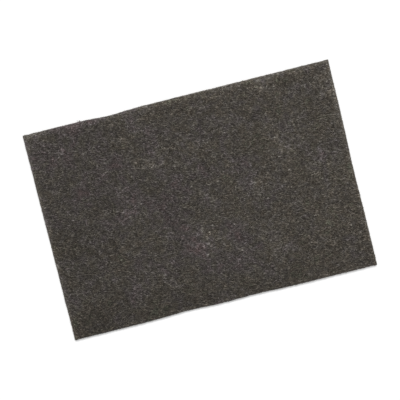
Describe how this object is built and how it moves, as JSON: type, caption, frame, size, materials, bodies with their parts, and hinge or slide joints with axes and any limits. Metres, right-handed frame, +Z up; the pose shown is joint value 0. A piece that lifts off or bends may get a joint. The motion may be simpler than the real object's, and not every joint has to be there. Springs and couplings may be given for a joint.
{
  "type": "non-woven abrasive pad",
  "caption": "Flat rectangular hand pad of dark grey bonded fibre web with fine abrasive, for scuffing and cleaning by hand.",
  "frame": {"origin": "middle of the resting face, at the bottom centre of the pad's bounding box", "axes": "+X along the pad's length, +Y across its width to the rear edge, +Z up through its thickness"},
  "size_m": [0.2274, 0.1524, 0.0063],
  "materials": {
    "abrasive_web": "matte"
  },
  "bodies": {
    "root": {"pad": "abrasive_web"}
  },
  "joints": []
}
